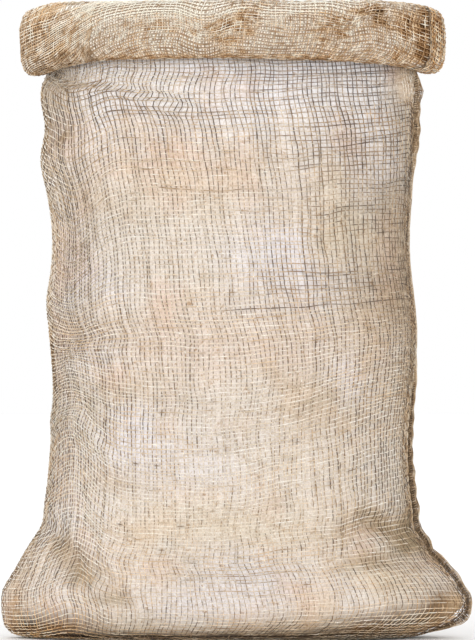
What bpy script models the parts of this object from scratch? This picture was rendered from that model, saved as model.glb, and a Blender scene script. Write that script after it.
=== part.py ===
"""Open-mesh burlap sack, filled to the brim and standing on its bottom seam.

The mouth is rolled down outwards into a thick hollow cuff, and the two lower
corners stand out as ears. The cloth is one thin sheet: flat base, plump body,
side-seam allowance and rolled cuff. A soft filling lies inside it.

Frame: metres, +Z up, the front panel faces -Y, +X is to the sack's right as it
is seen from the front. The base lies on z = 0.
"""

import math

import bmesh
import bpy
import numpy as np

# Driving dimensions, in metres.
CLOTH_T = 0.0025  # cloth as it lies, yarns and slack together
PANEL_COLUMNS = 26  # steps across one panel, from fold to seam
SEAM_ROOT = 0.0032  # half thickness of the seam allowance at its root
SEAM_TIP = 0.0013  # half thickness of the seam allowance at its edge
ROLL_HALF_DEPTH = 0.0138  # cuff, half its thickness from wall to outside
NOSE = 0.3  # share of plain oval that keeps a drawn-out end round
ROLL_LAYER_GAP = 0.0056  # one turn of the cuff lies this far inside the last
ROLL_SETTLE = 1.25  # how much more the turns close up in height than in depth
ROLL_END_SWELL = 0.0026  # how much fuller the cuff is at its two ends
ROLL_TURNS = 1.5
ROLL_STEP_DEG = 30
FILL_COLUMNS = 22  # steps across one side of the filling
FILL_INSET = 0.0062  # filling inside the middle of the cloth
FILL_SEAT = 0.0003  # filling above the cloth it stands on
FILL_CROWN = 0.016  # how far the top of the filling swells above its edge
BASE_FRACTIONS = (0.0, 0.42, 0.8, 1.0)  # from the bottom seam to the floor edge
BASE_SEAM_REACH = 0.95  # length of the bottom seam on the floor, as a share of the base

# Horizontal sections of the cloth: height, left and right reach from the middle,
# front-to-back half depth, and how sharply the ends are drawn out (1 = oval).
LEVEL_COLUMNS = ("z", "left", "right", "half_depth", "point")
LEVELS = [
    (0.000, 0.216, 0.176, 0.082, 1.60),
    (0.003, 0.231, 0.192, 0.092, 1.60),
    (0.009, 0.241, 0.209, 0.100, 1.60),
    (0.020, 0.2455, 0.231, 0.106, 1.58),
    (0.034, 0.247, 0.2405, 0.110, 1.52),
    (0.050, 0.245, 0.2345, 0.1135, 1.42),
    (0.068, 0.235, 0.221, 0.116, 1.30),
    (0.088, 0.2245, 0.2055, 0.118, 1.18),
    (0.110, 0.212, 0.1905, 0.1195, 1.10),
    (0.140, 0.203, 0.1825, 0.120, 1.04),
    (0.176, 0.1975, 0.178, 0.119, 1.00),
    (0.214, 0.194, 0.178, 0.1175, 1.00),
    (0.252, 0.1935, 0.1795, 0.117, 1.00),
    (0.290, 0.1955, 0.182, 0.1165, 1.00),
    (0.328, 0.1985, 0.183, 0.115, 1.00),
    (0.350, 0.1995, 0.1815, 0.1135, 1.00),
    (0.388, 0.1945, 0.1785, 0.111, 1.00),
    (0.424, 0.194, 0.1775, 0.108, 1.00),
    (0.462, 0.199, 0.1805, 0.104, 1.00),
    (0.500, 0.2055, 0.184, 0.099, 1.00),
    (0.536, 0.2005, 0.185, 0.094, 1.00),
    (0.564, 0.204, 0.1855, 0.089, 1.00),
    (0.583, 0.2045, 0.187, 0.0855, 1.00),
    (0.596, 0.1985, 0.186, 0.082, 1.00),
    (0.612, 0.196, 0.185, 0.080, 1.00),
    (0.640, 0.196, 0.185, 0.079, 1.00),
]

# Width of the side-seam allowance outside the body, by height.
SEAM_HEIGHTS = (0.005, 0.020, 0.130, 0.260, 0.300, 0.480, 0.510, 0.575, 0.592)
SEAM_WIDTHS = (0.0, 0.0075, 0.0080, 0.0065, 0.0040, 0.0040, 0.0060, 0.0065, 0.0)

# Cuff: bottom and top of the roll across the sack.
ROLL_COLUMNS = ("x", "bottom", "top")
ROLL = [
    (-0.200, 0.592, 0.658),
    (-0.180, 0.600, 0.6635),
    (-0.150, 0.605, 0.6645),
    (-0.080, 0.6075, 0.665),
    (0.000, 0.608, 0.667),
    (0.060, 0.607, 0.6645),
    (0.110, 0.605, 0.6675),
    (0.150, 0.6025, 0.665),
    (0.178, 0.599, 0.662),
    (0.190, 0.593, 0.657),
]

# Dents in the front of the cuff, where the rolled cloth is pinched: place across
# the sack, half width and depth; a negative depth bulges.
DENT_COLUMNS = ("x", "half_width", "depth")
DENTS = [
    (-0.140, 0.030, -0.0015),
    (-0.030, 0.022, 0.0035),
    (0.030, 0.028, -0.0015),
    (0.118, 0.020, 0.0028),
    (0.172, 0.010, 0.0040),
]

# Creases and soft ridges: panel (-1 front, 1 back), start and end as (x, z),
# half width and depth; a negative depth stands out.
CREASE_COLUMNS = ("panel", "x0", "z0", "x1", "z1", "half_width", "depth")
CREASES = [
    (-1, -0.205, 0.596, -0.186, 0.588, 0.010, 0.0055),
    (-1, -0.198, 0.588, -0.070, 0.556, 0.010, 0.0042),
    (-1, -0.190, 0.566, -0.090, 0.534, 0.014, -0.0020),
    (-1, -0.186, 0.318, -0.085, 0.306, 0.010, 0.0030),
    (-1, -0.186, 0.228, -0.118, 0.191, 0.012, -0.0030),
    (-1, -0.196, 0.114, -0.172, 0.082, 0.013, 0.0075),
    (-1, -0.172, 0.082, -0.118, 0.038, 0.014, 0.0070),
    (-1, 0.176, 0.113, 0.138, 0.124, 0.012, 0.0080),
    (-1, 0.176, 0.090, 0.120, 0.070, 0.014, 0.0065),
    (-1, 0.205, 0.086, 0.164, 0.052, 0.011, 0.0040),
    (-1, 0.176, 0.590, 0.150, 0.540, 0.010, 0.0030),
    (1, -0.150, 0.590, -0.080, 0.540, 0.012, 0.0040),
    (1, 0.170, 0.584, 0.080, 0.560, 0.011, 0.0040),
    (1, -0.190, 0.340, -0.090, 0.320, 0.012, 0.0030),
    (1, -0.196, 0.118, -0.110, 0.052, 0.014, 0.0070),
    (1, 0.186, 0.120, 0.108, 0.060, 0.014, 0.0070),
]

# How far the filling reaches towards the ears, and the height of its top edge.
FILL_REACH = [(0.003, 0.165, 0.120), (0.016, 0.190, 0.152), (0.030, 0.208, 0.186),
              (0.046, 0.222, 0.208), (0.064, 0.228, 0.213), (0.085, 0.214, 0.195), (0.108, 0.200, 0.176),
              (0.150, 0.300, 0.300)]
FILL_TOP = [(-0.190, 0.588), (-0.140, 0.598), (-0.050, 0.600), (0.040, 0.603), (0.110, 0.603), (0.175, 0.592)]
FILL_LEVELS = (0.014, 0.030, 0.048, 0.068, 0.088, 0.108, 0.135, 0.165, 0.210, 0.255, 0.300,
               0.345, 0.390, 0.435, 0.480, 0.520, 0.555, 0.578)
FILL_CAP = (0.94, 0.78, 0.52, 0.26, 0.0)


def smooth(table, at, column=1):
    """Cubic curve through the table's points, held flat beyond its ends."""
    xs = np.array([row[0] for row in table])
    ys = np.array([row[column] for row in table])
    slope = np.gradient(ys, xs)
    t = np.clip(at, xs[0], xs[-1])
    i = np.clip(np.searchsorted(xs, t, side="right") - 1, 0, len(xs) - 2)
    step = xs[i + 1] - xs[i]
    k = (t - xs[i]) / step
    start = (1 + 2 * k) * (1 - k) ** 2 * ys[i] + k * (1 - k) ** 2 * step * slope[i]
    end = k * k * (3 - 2 * k) * ys[i + 1] + k * k * (k - 1) * step * slope[i + 1]
    return start + end


def relief(x, z, panel):
    """Inward depth of the creases, less the slack cloth's own gentle swell."""
    depth = np.zeros_like(x)
    for side, x0, z0, x1, z1, width, deep in CREASES:
        if side != panel:
            continue
        run = (x1 - x0) ** 2 + (z1 - z0) ** 2
        k = np.clip(((x - x0) * (x1 - x0) + (z - z0) * (z1 - z0)) / run, 0, 1)
        off = np.hypot(x - x0 - k * (x1 - x0), z - z0 - k * (z1 - z0))
        depth += deep * np.exp(-((off / width) ** 2))
    phase = 0.0 if panel < 0 else 2.1
    swell = 0.0011 * np.sin(31 * x + 17 * z + phase) * np.sin(23 * z - 9 * x + phase)
    swell += 0.0008 * np.sin(14 * x - 37 * z + 2 * phase)
    fade = np.clip(z / 0.05, 0, 1) * np.clip((0.640 - z) / 0.05, 0, 1)
    return depth * np.clip(z / 0.03, 0, 1) * np.clip((0.625 - z) / 0.02, 0, 1) - swell * fade


def section(left, right, half_depth, point, shares, panel):
    """Points across one panel at one height, at even shares of its length."""
    turn = np.linspace(math.pi, 0, 241)
    x = (right - left) / 2 + (right + left) / 2 * np.cos(turn)
    bow = np.sin(turn).clip(0)
    y = panel * half_depth * ((1 - NOSE) * bow**point + NOSE * bow)
    length = np.concatenate([[0], np.cumsum(np.hypot(np.diff(x), np.diff(y)))])
    at = shares(length[-1])
    return np.interp(at, length, x), np.interp(at, length, y)


def cloth_shares(length):
    """Columns of the front panel: even steps, then the seam allowance."""
    even = np.arange(PANEL_COLUMNS) / PANEL_COLUMNS * length
    return np.append(even, [length - SEAM_ROOT, length - SEAM_TIP])


def closed_section(z_row, left, right, half_depth, point):
    """The whole way round the cloth, from the fold, over the front to the seam, and back."""
    xf, yf = section(left, right, half_depth, point, cloth_shares, -1)
    xb, yb = xf[1:][::-1], -yf[1:][::-1]
    x, y = np.append(xf, xb), np.append(yf, yb)
    panel = np.append(-np.ones(len(xf)), np.ones(len(xb)))
    z = np.full(len(x), z_row)
    return x, y, z, panel


def outward(x, y):
    """Horizontal outward direction at each point of a closed section."""
    tx = np.roll(x, -1) - np.roll(x, 1)
    ty = np.roll(y, -1) - np.roll(y, 1)
    size = np.maximum(np.hypot(tx, ty), 1e-9)
    return ty / size, -tx / size


def level(z):
    return [float(smooth(LEVELS, z, c)) for c in range(1, 5)]


def roll_middle(x):
    """Height of the cuff's middle, between its bottom and top edges."""
    return (smooth(ROLL, x, 1) + smooth(ROLL, x, 2)) / 2 - ROLL_SETTLE * ROLL_LAYER_GAP / 4


def cloth_rows():
    """Rows of points on the middle of the cloth, from the bottom seam to the cuff's inner end."""
    rows = []
    left, right, half_depth, point = level(0.0)
    x, y, z, panel = closed_section(CLOTH_T / 2, left, right, half_depth, point)
    for share in BASE_FRACTIONS:
        rows.append(np.stack([x * (BASE_SEAM_REACH + (1 - BASE_SEAM_REACH) * share), y * share, z], 1))
    for row in LEVELS[1:]:
        height = row[0]
        x, y, z, panel = closed_section(height, *row[1:])
        nx, ny = outward(x, y)
        deep = np.where(panel < 0, relief(x, z, -1), relief(x, z, 1))
        z = z.copy()
        if height > 0.60:
            z += (roll_middle(x) - 0.640) * min(1.0, (height - 0.60) / 0.04)
        rows.append(np.stack([x - nx * deep, y - ny * deep, z], 1))
    return rows + roll_rows(rows[-1])


def roll_rows(wall):
    """The cuff: the wall goes up, turns outwards and winds round its own hollow middle."""
    x, y, z = wall.T
    nx, ny = outward(x, y)
    bottom = smooth(ROLL, x, 1)
    top = smooth(ROLL, x, 2)
    half_height = (top - bottom - CLOTH_T + ROLL_SETTLE * ROLL_LAYER_GAP) / 2
    way = np.arctan2(y, x)
    plump = 1 + 0.07 * np.sin(3 * way + 0.6) + 0.06 * np.sin(7 * way + 2.0) + 0.05 * np.sin(11 * way)
    half_depth = ROLL_HALF_DEPTH * plump + ROLL_END_SWELL * np.abs(x / 0.19).clip(0, 1.05) ** 6
    for at, width, deep in DENTS:
        half_depth -= deep / 2 * np.exp(-(((x - at) / width) ** 2)) * (y < 0)
    rows = []
    for i in range(1, int(ROLL_TURNS * 360 / ROLL_STEP_DEG) + 1):
        turned = i * ROLL_STEP_DEG
        angle = math.radians(180 - turned)
        shrink = ROLL_LAYER_GAP * turned / 360
        out = half_depth + (half_depth - shrink) * math.cos(angle)
        up = (half_height - ROLL_SETTLE * shrink) * math.sin(angle)
        rows.append(np.stack([x + nx * out, y + ny * out, z + up], 1))
    return rows


def normals(points):
    """Directions out of the cloth over a grid of rows that closes on itself."""
    along = np.roll(points, -1, 1) - np.roll(points, 1, 1)
    up = np.empty_like(points)
    up[1:-1] = points[2:] - points[:-2]
    up[0] = points[1] - points[0]
    up[-1] = points[-1] - points[-2]
    n = np.cross(along, up)
    return n / np.maximum(np.linalg.norm(n, axis=2, keepdims=True), 1e-12)


def add_grid(bm, points):
    """A ring-by-ring skin over the points; returns its first and last rings."""
    rings = [[bm.verts.new(p) for p in row] for row in points]
    count = len(rings[0])
    for lower, upper in zip(rings, rings[1:]):
        for i in range(count):
            j = (i + 1) % count
            bm.faces.new((lower[i], lower[j], upper[j], upper[i]))
    return rings[0], rings[-1]


def finish(name, bm, colour, roughness):
    bmesh.ops.remove_doubles(bm, verts=bm.verts[:], dist=0.00002)
    bmesh.ops.dissolve_degenerate(bm, edges=bm.edges[:], dist=0.00001)
    bmesh.ops.triangulate(bm, faces=bm.faces[:])
    bmesh.ops.recalc_face_normals(bm, faces=bm.faces[:])
    mesh = bpy.data.meshes.new(name)
    bm.to_mesh(mesh)
    bm.free()
    mesh.shade_smooth()
    mesh.set_sharp_from_angle(angle=math.radians(60))
    material = bpy.data.materials.new(name)
    material.use_nodes = True
    shader = material.node_tree.nodes["Principled BSDF"]
    shader.inputs["Base Color"].default_value = (*colour, 1.0)
    shader.inputs["Roughness"].default_value = roughness
    shader.inputs["Metallic"].default_value = 0.0
    mesh.materials.append(material)
    thing = bpy.data.objects.new(name, mesh)
    bpy.context.scene.collection.objects.link(thing)
    return thing


def build_sack():
    """One thin shell, its two faces joined at the cuff's inner end."""
    middle = np.array(cloth_rows())
    floor_rows = len(BASE_FRACTIONS)
    n = normals(middle)
    n[: floor_rows - 1] = (0, 0, -1)
    outer = middle + n * CLOTH_T / 2
    inner = middle - n * CLOTH_T / 2
    outer[:floor_rows, :, 2] = 0.0
    inner[:floor_rows, :, 2] = CLOTH_T
    # On the floor the cloth's two faces lie one above the other.
    outer[:floor_rows, :, :2] = middle[:floor_rows, :, :2]
    inner[:floor_rows, :, :2] = middle[:floor_rows, :, :2] * (0.992, 0.985)
    outer[:, :, 2] = outer[:, :, 2].clip(0)

    # Seam allowance: the two middle columns of the seam stand out past the body,
    # and inside it the two panels keep to their own sides.
    tips = (PANEL_COLUMNS + 1, PANEL_COLUMNS + 2)
    body_rows = range(floor_rows, floor_rows + len(LEVELS) - 1)
    for r in body_rows:
        for c in range(PANEL_COLUMNS, PANEL_COLUMNS + 4):
            inner[r, c, 1] = math.copysign(max(abs(inner[r, c, 1]), SEAM_TIP / 2), middle[r, c, 1])
        width = float(np.interp(middle[r, 0, 2], SEAM_HEIGHTS, SEAM_WIDTHS))
        if width > 0.0005:
            for c in tips:
                outer[r, c, 0] += width
                outer[r, c, 1] = math.copysign(SEAM_TIP, outer[r, c, 1])

    bm = bmesh.new()
    _, outer_end = add_grid(bm, outer)
    _, inner_end = add_grid(bm, inner)
    for i in range(len(outer_end)):
        j = (i + 1) % len(outer_end)
        bm.faces.new((outer_end[i], outer_end[j], inner_end[j], inner_end[i]))
    return finish("sack", bm, (0.60, 0.47, 0.33), 0.9)


def fill_shares(length):
    return np.arange(FILL_COLUMNS + 1) / FILL_COLUMNS * length


def fill_ring(z, creased=True):
    """One ring of the filling inside the cloth at a height."""
    left, right, half_depth, point = level(z)
    left = min(left - 1.6 * FILL_INSET, float(smooth(FILL_REACH, z, 1)))
    right = min(right - 1.6 * FILL_INSET, float(smooth(FILL_REACH, z, 2)))
    half_depth -= FILL_INSET
    xf, yf = section(left, right, half_depth, point, fill_shares, -1)
    x = np.append(xf, xf[1:-1][::-1])
    y = np.append(yf, -yf[1:-1][::-1])
    if not creased:
        return x, y
    nx, ny = outward(x, y)
    height = np.full(len(x), z)
    deep = np.where(y <= 0, relief(x, height, -1), relief(x, height, 1)).clip(0)
    return x - nx * deep, y - ny * deep


def build_filling():
    """Plump mass inside the cloth, flat where it stands, crowned at the mouth."""
    foot = CLOTH_T + FILL_SEAT
    rows = []
    x, y = fill_ring(0.0, creased=False)
    for share in (0.0, 0.5, 1.0):
        rows.append(np.stack([x, y * share, np.full(len(x), foot)], 1))
    x, y = fill_ring(foot + 0.004)
    rows.append(np.stack([x, y, np.full(len(x), foot + 0.004)], 1))
    for z in FILL_LEVELS:
        x, y = fill_ring(z)
        lift = (smooth(FILL_TOP, x) - 0.592) * np.clip((z - 0.50) / 0.078, 0, 1)
        rows.append(np.stack([x, y, z + lift], 1))
    x, y = fill_ring(FILL_LEVELS[-1] + 0.008, creased=False)
    edge = smooth(FILL_TOP, x)
    for share in FILL_CAP:
        hump = FILL_CROWN * (1 - share**2) * (1 + 0.25 * np.sin(21 * x + 9 * share))
        taper = np.clip((0.190 - np.abs(x + 0.006)) / 0.05, 0, 1)
        rows.append(np.stack([x * (0.985 + 0.015 * share), y * share, edge - 0.004 + hump * taper], 1))
    bm = bmesh.new()
    add_grid(bm, np.array(rows))
    return finish("filling", bm, (0.80, 0.76, 0.70), 0.95)


def main():
    for thing in list(bpy.data.objects):
        bpy.data.objects.remove(thing)
    root = bpy.data.objects.new("burlap_sack", None)
    bpy.context.scene.collection.objects.link(root)
    sack = build_sack()
    filling = build_filling()
    for part in (sack, filling):
        part.parent = root
    # The origin is the middle of the sack's box, at its base.
    points = np.array([v.co for v in sack.data.vertices])
    middle = (points.min(0) + points.max(0)) / 2
    root.location = (-middle[0], -middle[1], 0.0)


main()
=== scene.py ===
import math

import bmesh
import bpy
import numpy as np
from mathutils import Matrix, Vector


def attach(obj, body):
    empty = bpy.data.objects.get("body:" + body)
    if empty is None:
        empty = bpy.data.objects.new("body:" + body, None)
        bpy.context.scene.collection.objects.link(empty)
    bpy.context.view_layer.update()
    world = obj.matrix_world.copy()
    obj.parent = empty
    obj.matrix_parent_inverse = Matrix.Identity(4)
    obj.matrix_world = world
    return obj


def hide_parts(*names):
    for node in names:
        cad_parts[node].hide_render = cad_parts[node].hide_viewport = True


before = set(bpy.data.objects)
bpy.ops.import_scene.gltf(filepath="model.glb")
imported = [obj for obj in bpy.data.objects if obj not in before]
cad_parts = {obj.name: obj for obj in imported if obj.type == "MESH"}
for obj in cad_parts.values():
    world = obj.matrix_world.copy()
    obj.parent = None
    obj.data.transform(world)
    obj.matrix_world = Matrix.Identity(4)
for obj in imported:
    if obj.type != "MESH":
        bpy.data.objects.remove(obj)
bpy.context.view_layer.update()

# ---------------------------------------------------------------- sizes (metres)
# Horizontal sections of the cloth: height, left and right reach from the middle,
# half depth, and how sharply the ends are drawn out (1 = oval).
LEVELS = [
    (0.0, 0.216, 0.176, 0.082, 1.6),
    (0.003, 0.231, 0.192, 0.092, 1.6),
    (0.009, 0.241, 0.209, 0.1, 1.6),
    (0.02, 0.2455, 0.231, 0.106, 1.58),
    (0.034, 0.247, 0.2405, 0.11, 1.52),
    (0.05, 0.245, 0.2345, 0.1135, 1.42),
    (0.068, 0.235, 0.221, 0.116, 1.3),
    (0.088, 0.2245, 0.2055, 0.118, 1.18),
    (0.11, 0.212, 0.1905, 0.1195, 1.1),
    (0.14, 0.203, 0.1825, 0.12, 1.04),
    (0.176, 0.1975, 0.178, 0.119, 1.0),
    (0.214, 0.194, 0.1785, 0.1175, 1.0),
    (0.252, 0.1935, 0.1825, 0.117, 1.0),
    (0.29, 0.1955, 0.1865, 0.1165, 1.0),
    (0.328, 0.1985, 0.187, 0.115, 1.0),
    (0.35, 0.1995, 0.185, 0.1135, 1.0),
    (0.388, 0.1945, 0.181, 0.111, 1.0),
    (0.424, 0.194, 0.18, 0.108, 1.0),
    (0.462, 0.199, 0.1825, 0.104, 1.0),
    (0.5, 0.2055, 0.184, 0.099, 1.0),
    (0.536, 0.2005, 0.185, 0.094, 1.0),
    (0.564, 0.204, 0.1855, 0.089, 1.0),
    (0.583, 0.2045, 0.187, 0.0855, 1.0),
    (0.596, 0.1985, 0.186, 0.082, 1.0),
    (0.612, 0.196, 0.185, 0.08, 1.0),
    (0.64, 0.196, 0.185, 0.079, 1.0),
]
MIDDLE = (-0.00011, 0.00034)  # the tables' own middle, in the frame
RIM_Z = 0.640  # height of the last section, at the middle of the cuff
CLOTH_T = 0.0025  # cloth as it lies, yarns and slack together
NOSE = 0.3  # share of plain oval that keeps a drawn-out end round
BASE_SEAM_REACH = 0.95  # length of the bottom seam, as a share of the base
# Cuff: place, bottom, top.
ROLL = [
    (-0.2, 0.592, 0.658),
    (-0.18, 0.6, 0.6635),
    (-0.15, 0.605, 0.6645),
    (-0.08, 0.6075, 0.665),
    (0.0, 0.608, 0.667),
    (0.06, 0.607, 0.6645),
    (0.11, 0.605, 0.6675),
    (0.15, 0.6025, 0.665),
    (0.178, 0.599, 0.662),
    (0.19, 0.593, 0.657),
]
ROLL_HALF_DEPTH = 0.0138  # half the cuff's thickness, from wall to outside
ROLL_LAYER_GAP = 0.0056  # one turn of the cuff lies this far inside the last
ROLL_TURNS = 1.75  # whole windings of the cloth in the cuff
ROLL_SETTLE = 1.25  # how much more the turns close up in height than in depth
ROLL_END_SWELL = 0.0026  # how much fuller the cuff is at its two ends
# Width of the side-seam allowance, by height.
SEAM_HEIGHTS = (0.005, 0.020, 0.130, 0.260, 0.300, 0.480, 0.510, 0.575, 0.592)
SEAM_WIDTHS = (0.0, 0.0075, 0.0080, 0.0045, 0.0012, 0.0014, 0.0060, 0.0085, 0.004)
# Dents in the front of the cuff: place, half width, depth.
DENTS = [
    (-0.14, 0.03, -0.0015),
    (-0.03, 0.022, 0.0035),
    (0.03, 0.028, -0.0015),
    (0.118, 0.02, 0.0028),
    (0.172, 0.01, 0.004),
]
# Rucks in the outer turn of the cuff's front: x0, z0, x1, z1, half width, and
# height (negative sinks in).
RUCKS = [
    (-0.205, 0.636, -0.06, 0.655, 0.009, 0.0016),
    (-0.19, 0.618, -0.09, 0.634, 0.007, -0.0013),
    (-0.04, 0.66, -0.012, 0.64, 0.006, -0.0018),
    (-0.012, 0.64, -0.03, 0.622, 0.007, -0.0014),
    (0.006, 0.655, 0.014, 0.625, 0.006, -0.0018),
    (0.02, 0.628, 0.045, 0.655, 0.008, 0.0018),
    (0.136, 0.66, 0.15, 0.638, 0.005, -0.0028),
    (0.15, 0.638, 0.182, 0.645, 0.005, -0.002),
    (0.16, 0.652, 0.18, 0.65, 0.007, 0.0016),
    (0.199, 0.66, 0.194, 0.612, 0.005, -0.0026),
]
# Creases: panel, x0, z0, x1, z1, half width, depth (negative stands out).
CREASES = [
    (-1, -0.205, 0.596, -0.186, 0.588, 0.01, 0.0055),
    (-1, -0.198, 0.588, -0.07, 0.556, 0.01, 0.0042),
    (-1, -0.19, 0.566, -0.09, 0.534, 0.014, -0.002),
    (-1, -0.186, 0.318, -0.085, 0.306, 0.01, 0.003),
    (-1, -0.186, 0.228, -0.118, 0.191, 0.012, -0.003),
    (-1, -0.196, 0.114, -0.172, 0.082, 0.013, 0.0075),
    (-1, -0.172, 0.082, -0.118, 0.038, 0.014, 0.007),
    (-1, 0.176, 0.113, 0.138, 0.124, 0.012, 0.008),
    (-1, 0.176, 0.09, 0.12, 0.07, 0.014, 0.0065),
    (-1, 0.205, 0.086, 0.164, 0.052, 0.011, 0.004),
    (-1, 0.176, 0.59, 0.15, 0.54, 0.01, 0.003),
    (1, -0.15, 0.59, -0.08, 0.54, 0.012, 0.004),
    (1, 0.17, 0.584, 0.08, 0.56, 0.011, 0.004),
    (1, -0.19, 0.34, -0.09, 0.32, 0.012, 0.003),
    (1, -0.196, 0.118, -0.11, 0.052, 0.014, 0.007),
    (1, 0.186, 0.12, 0.108, 0.06, 0.014, 0.007),
]
# Top edge of the filling: place, height.
FILL_TOP = [
    (-0.19, 0.596),
    (-0.165, 0.601),
    (-0.13, 0.605),
    (-0.11, 0.606),
    (-0.04, 0.6075),
    (0.0, 0.609),
    (0.11, 0.609),
    (0.175, 0.6),
]

WARPS = 208  # all the way round
# Weft pitch, by the length from the bottom seam.
WEFT_PITCHES = [
    (0.0, 0.0042),
    (0.3, 0.0041),
    (0.48, 0.0047),
    (0.66, 0.0045),
    (0.72, 0.0033),
    (0.742, 0.0033),
    (0.747, 0.0028),
    (0.775, 0.0028),
    (0.782, 0.0033),
    (1.1, 0.0033),
]
# Yarn radius, by height.
YARN_RADII = [
    (0.0, 0.0004),
    (0.04, 0.00042),
    (0.1, 0.00049),
    (0.45, 0.00051),
    (0.585, 0.0005),
    (0.6, 0.00046),
    (0.67, 0.00046),
]
YARN_SIDES = 3  # corners of a yarn's section
CRIMP = 0.0004  # how far a yarn rises and sinks where it crosses another
LAY = 0.00022  # how far the wefts lie over the warps
SLUBS = 150  # short thick dark places in the yarns
STITCH, THREAD_RADIUS = 0.0024, 0.00052  # of the overlocked seam
LAST_TURN = 396  # degrees of the cuff's winding drawn yarn by yarn
CORE_GAP = 0.0017  # from the outer turn to the closed cloth behind it
FRONT_DROP = 0.0050  # how much lower the cuff hangs at the middle of the front
# Share of the warps on the front, by height: the net drifts round the fold.
FRONT_SHARES = [
    (0.0, 0.54),
    (0.26, 0.52),
    (0.44, 0.486),
    (0.5, 0.477),
    (0.555, 0.457),
    (0.6, 0.453),
    (0.67, 0.453),
]
# Pitch of the warps across the front, from the seam (0) to the fold (0.5).
ACROSS = [
    (0.0, 1.02),
    (0.06, 1.08),
    (0.12, 1.1),
    (0.18, 1.0),
    (0.25, 1.1),
    (0.33, 1.0),
    (0.42, 0.82),
    (0.5, 0.86),
]
# The grid from which the yarns are laid: columns of one panel, rows of the flat
# base, of the rounded edge above it and of the body, and degrees from row to row
# of the cuff, which starts to turn after CUFF_ROW.
PANEL_COLUMNS = 132
BASE_ROWS, EDGE_ROWS, BODY_ROWS = 13, 9, 155
CUFF_ROW = BASE_ROWS + EDGE_ROWS + BODY_ROWS - 1
TURN_STEP = 6


# ---------------------------------------------------------------- helpers
def smooth(table, at, column=1):
    """A column of a table, read smoothly at any value of its first column."""
    xs = np.array([row[0] for row in table])
    ys = np.array([row[column] for row in table])
    slope = np.gradient(ys, xs)
    t = np.clip(at, xs[0], xs[-1])
    i = np.clip(np.searchsorted(xs, t, side="right") - 1, 0, len(xs) - 2)
    step = xs[i + 1] - xs[i]
    k = (t - xs[i]) / step
    start = (1 + 2 * k) * (1 - k) ** 2 * ys[i] + k * (1 - k) ** 2 * step * slope[i]
    end = k * k * (3 - 2 * k) * ys[i + 1] + k * k * (k - 1) * step * slope[i + 1]
    return start + end


def noise(rows, columns, seed):
    """Smooth noise of about unit size, read at fractional rows and columns."""
    rng = np.random.default_rng(seed)
    high, wide = int(np.max(rows)) + 3, int(np.max(columns)) + 3
    grid = rng.normal(size=(high, wide))
    r0, c0 = np.floor(rows).astype(int), np.floor(columns).astype(int)
    fr, fc = rows - r0, columns - c0
    fr, fc = fr * fr * (3 - 2 * fr), fc * fc * (3 - 2 * fc)
    low = grid[r0, c0] * (1 - fc) + grid[r0, c0 + 1] * fc
    up = grid[r0 + 1, c0] * (1 - fc) + grid[r0 + 1, c0 + 1] * fc
    return low * (1 - fr) + up * fr


def unit(v):
    return v / np.maximum(np.linalg.norm(v, axis=-1, keepdims=True), 1e-12)


def up_from(value, start, width):
    """0 up to a start, 1 from a width further on."""
    return np.clip((value - start) / width, 0, 1)


def down_to(value, end, width):
    """1 up to a width before an end, 0 from the end on."""
    return np.clip((end - value) / width, 0, 1)


def bell(value, middle, width):
    return np.exp(-(((value - middle) / width) ** 2))


def oval(x, z, x0, z0, wide, high):
    """1 at the middle of an oval patch, fading round it."""
    return np.exp(-(((x - x0) / wide) ** 2) - ((z - z0) / high) ** 2)


def off_line(x, z, x0, z0, x1, z1):
    """Distance from the stretch between two places."""
    run = (x1 - x0) ** 2 + (z1 - z0) ** 2
    k = np.clip(((x - x0) * (x1 - x0) + (z - z0) * (z1 - z0)) / run, 0, 1)
    return np.hypot(x - x0 - k * (x1 - x0), z - z0 - k * (z1 - z0))


def quads(index, closed=True):
    """Faces between the rows of a grid of point numbers, whose last axis may be closed."""
    after = np.roll(index, -1, -1)
    faces = np.stack([index[:-1], after[:-1], after[1:], index[1:]], -1)
    return (faces if closed else faces[:, :-1]).reshape(-1, 4)


def make_mesh(name, points, faces, material, colours=None):
    """A mesh object from arrays of points and four-cornered faces."""
    me = bpy.data.meshes.new(name)
    me.vertices.add(len(points))
    me.vertices.foreach_set("co", np.asarray(points, np.float32).ravel())
    faces = np.asarray(faces, np.int32)
    me.loops.add(faces.size)
    me.loops.foreach_set("vertex_index", faces.ravel())
    me.polygons.add(len(faces))
    me.polygons.foreach_set("loop_start", np.arange(0, faces.size, 4, dtype=np.int32))
    me.polygons.foreach_set("use_smooth", np.ones(len(faces), bool))
    me.update(calc_edges=True)
    me.validate()
    if colours is not None:
        layer = me.color_attributes.new("Tint", "FLOAT_COLOR", "POINT")
        rgba = np.concatenate([colours, np.ones((len(colours), 1))], 1)
        layer.data.foreach_set("color", rgba.astype(np.float32).ravel())
    me.materials.append(material)
    ob = bpy.data.objects.new(name, me)
    bpy.context.scene.collection.objects.link(ob)
    return ob


def join_parts(name, parts, material):
    """One mesh object from several sets of points, faces and colours."""
    starts = np.cumsum([0] + [len(points) for points, _, _ in parts])
    return make_mesh(
        name,
        np.concatenate([points for points, _, _ in parts]),
        np.concatenate([faces + start for (_, faces, _), start in zip(parts, starts)]),
        material,
        np.concatenate([colours for _, _, colours in parts]),
    )


# ---------------------------------------------------------------- cloth surface
def relief(x, z, panel):
    """Inward depth of creases and slack over a panel."""
    depth = np.zeros_like(x)
    for side, *line, width, deep in CREASES:
        depth += deep * bell(off_line(x, z, *line), 0, width) * (panel == side)
    phase = np.where(panel < 0, 0.0, 2.1)
    swell = 0.0011 * np.sin(31 * x + 17 * z + phase) * np.sin(23 * z - 9 * x + phase)
    swell += 0.0008 * np.sin(14 * x - 37 * z + 2 * phase)
    fade = up_from(z, 0, 0.05) * down_to(z, RIM_Z, 0.05)
    depth *= up_from(z, 0, 0.03) * down_to(z, 0.625, 0.02)
    return depth - swell * fade


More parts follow.
